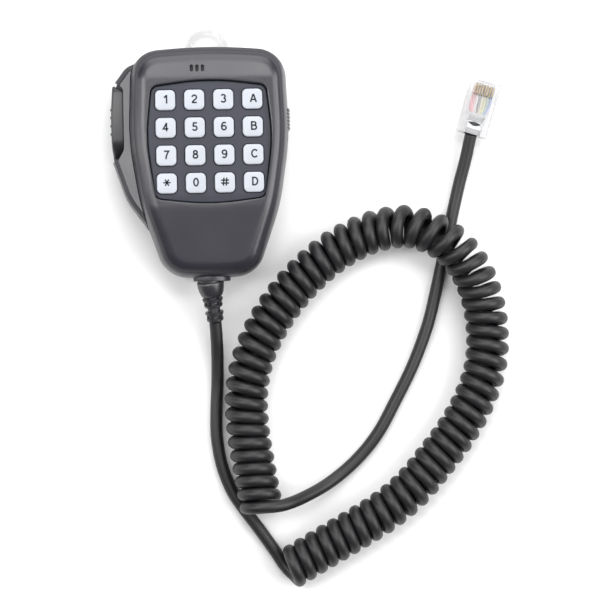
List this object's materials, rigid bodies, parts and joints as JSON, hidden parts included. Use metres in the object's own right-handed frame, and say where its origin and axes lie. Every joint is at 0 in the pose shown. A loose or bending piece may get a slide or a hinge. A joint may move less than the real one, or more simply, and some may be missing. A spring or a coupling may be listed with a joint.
{
  "type": "hand microphone",
  "caption": "Hand microphone for a mobile radio, with a square keypad, a side push-to-talk lever, a hanger loop, a lock slider and a curly cord ending in a clear modular plug.",
  "frame": {"origin": "on the surface it lies on, under the middle of the microphone's box without its cord", "axes": "+Z out of the keypad, +Y towards the hanger loop, +X to the right as the keypad is read; the push-to-talk lever is on the -X side"},
  "size_m": [0.1532, 0.2161, 0.028],
  "materials": {
    "case": "fine moulded grain, satin",
    "panel": "smooth satin",
    "lever": "fine moulded grain, satin",
    "key": "smooth satin, printed dark grey legend",
    "mat": "silicone",
    "board": "solder mask",
    "chip": "moulded epoxy",
    "metal": "plated",
    "rubber": "soft matt",
    "felt": "felt",
    "white_part": "moulded",
    "clear": "clear moulded polycarbonate",
    "cord": "satin jacket",
    "wires": "insulation in several colours",
    "gold": "gold plated"
  },
  "bodies": {
    "case": {"front_cover": "case", "rear_cover": "case", "keypad_panel": "panel", "keypad_mat": "mat", "main_board": "board", "encoder_chip": "chip", "microphone_capsule": "metal", "capsule_grommet": "rubber", "dust_felt": "felt", "ptt_pin": "metal", "ptt_switch": "chip", "lock_switch": "metal", "hanger_pin": "metal", "case_screws": "metal", "board_screws": "metal", "strain_relief": "rubber", "inner_lead": "cord", "lead_wires": "wires", "board_connector": "white_part", "cord_tail": "cord", "curly_cord": "cord", "cord_lead": "cord", "plug_body": "clear", "plug_contacts": "gold", "plug_wires": "wires"},
    "key_1_cap": {"key_1": "key"},
    "key_2_cap": {"key_2": "key"},
    "key_3_cap": {"key_3": "key"},
    "key_a_cap": {"key_a": "key"},
    "key_4_cap": {"key_4": "key"},
    "key_5_cap": {"key_5": "key"},
    "key_6_cap": {"key_6": "key"},
    "key_b_cap": {"key_b": "key"},
    "key_7_cap": {"key_7": "key"},
    "key_8_cap": {"key_8": "key"},
    "key_9_cap": {"key_9": "key"},
    "key_c_cap": {"key_c": "key"},
    "key_star_cap": {"key_star": "key"},
    "key_0_cap": {"key_0": "key"},
    "key_hash_cap": {"key_hash": "key"},
    "key_d_cap": {"key_d": "key"},
    "ptt": {"ptt_lever": "lever"},
    "ptt_switch_plunger": {"ptt_plunger": "white_part"},
    "lock": {"lock_slider": "lever", "lock_knob": "white_part"},
    "hanger": {"hanger_loop": "clear"},
    "latch": {"plug_latch": "clear"}
  },
  "joints": [
    {"name": "key_1_press", "type": "slide", "parent": "case", "child": "key_1_cap", "axis": [0, 0, -1], "range_m": [0, 0.0006], "stiffness_N_per_m": 1200, "springref_m": -0.0003},
    {"name": "key_2_press", "type": "slide", "parent": "case", "child": "key_2_cap", "axis": [0, 0, -1], "range_m": [0, 0.0006], "stiffness_N_per_m": 1200, "springref_m": -0.0003},
    {"name": "key_3_press", "type": "slide", "parent": "case", "child": "key_3_cap", "axis": [0, 0, -1], "range_m": [0, 0.0006], "stiffness_N_per_m": 1200, "springref_m": -0.0003},
    {"name": "key_a_press", "type": "slide", "parent": "case", "child": "key_a_cap", "axis": [0, 0, -1], "range_m": [0, 0.0006], "stiffness_N_per_m": 1200, "springref_m": -0.0003},
    {"name": "key_4_press", "type": "slide", "parent": "case", "child": "key_4_cap", "axis": [0, 0, -1], "range_m": [0, 0.0006], "stiffness_N_per_m": 1200, "springref_m": -0.0003},
    {"name": "key_5_press", "type": "slide", "parent": "case", "child": "key_5_cap", "axis": [0, 0, -1], "range_m": [0, 0.0006], "stiffness_N_per_m": 1200, "springref_m": -0.0003},
    {"name": "key_6_press", "type": "slide", "parent": "case", "child": "key_6_cap", "axis": [0, 0, -1], "range_m": [0, 0.0006], "stiffness_N_per_m": 1200, "springref_m": -0.0003},
    {"name": "key_b_press", "type": "slide", "parent": "case", "child": "key_b_cap", "axis": [0, 0, -1], "range_m": [0, 0.0006], "stiffness_N_per_m": 1200, "springref_m": -0.0003},
    {"name": "key_7_press", "type": "slide", "parent": "case", "child": "key_7_cap", "axis": [0, 0, -1], "range_m": [0, 0.0006], "stiffness_N_per_m": 1200, "springref_m": -0.0003},
    {"name": "key_8_press", "type": "slide", "parent": "case", "child": "key_8_cap", "axis": [0, 0, -1], "range_m": [0, 0.0006], "stiffness_N_per_m": 1200, "springref_m": -0.0003},
    {"name": "key_9_press", "type": "slide", "parent": "case", "child": "key_9_cap", "axis": [0, 0, -1], "range_m": [0, 0.0006], "stiffness_N_per_m": 1200, "springref_m": -0.0003},
    {"name": "key_c_press", "type": "slide", "parent": "case", "child": "key_c_cap", "axis": [0, 0, -1], "range_m": [0, 0.0006], "stiffness_N_per_m": 1200, "springref_m": -0.0003},
    {"name": "key_star_press", "type": "slide", "parent": "case", "child": "key_star_cap", "axis": [0, 0, -1], "range_m": [0, 0.0006], "stiffness_N_per_m": 1200, "springref_m": -0.0003},
    {"name": "key_0_press", "type": "slide", "parent": "case", "child": "key_0_cap", "axis": [0, 0, -1], "range_m": [0, 0.0006], "stiffness_N_per_m": 1200, "springref_m": -0.0003},
    {"name": "key_hash_press", "type": "slide", "parent": "case", "child": "key_hash_cap", "axis": [0, 0, -1], "range_m": [0, 0.0006], "stiffness_N_per_m": 1200, "springref_m": -0.0003},
    {"name": "key_d_press", "type": "slide", "parent": "case", "child": "key_d_cap", "axis": [0, 0, -1], "range_m": [0, 0.0006], "stiffness_N_per_m": 1200, "springref_m": -0.0003},
    {"name": "ptt_turn", "type": "hinge", "parent": "case", "child": "ptt", "pos_m": [-0.0256, 0.01, 0.0083], "axis": [0, 0, -1], "range_deg": [0, 4.5], "stiffness_Nm_per_rad": 0.6, "springref_deg": -1.72},
    {"name": "ptt_plunge", "type": "slide", "parent": "case", "child": "ptt_switch_plunger", "axis": [1, 0, 0], "range_m": [0, 0.00095]},
    {"name": "lock_slide", "type": "slide", "parent": "case", "child": "lock", "axis": [0, -1, 0], "range_m": [0, 0.004]},
    {"name": "hanger_swing", "type": "hinge", "parent": "case", "child": "hanger", "pos_m": [0.0036, 0.0446, 0.0026], "axis": [-1, 0, 0], "range_deg": [0, 90]},
    {"name": "latch_press", "type": "hinge", "parent": "case", "child": "latch", "pos_m": [0.11121, 0.0323, 0.0027], "axis": [-0.9542, 0.299, 0], "range_deg": [0, 6], "stiffness_Nm_per_rad": 0.05}
  ],
  "couplings": [
    {"joint": "ptt_plunge", "follows": "ptt_turn", "m_per_rad": 0.012}
  ]
}
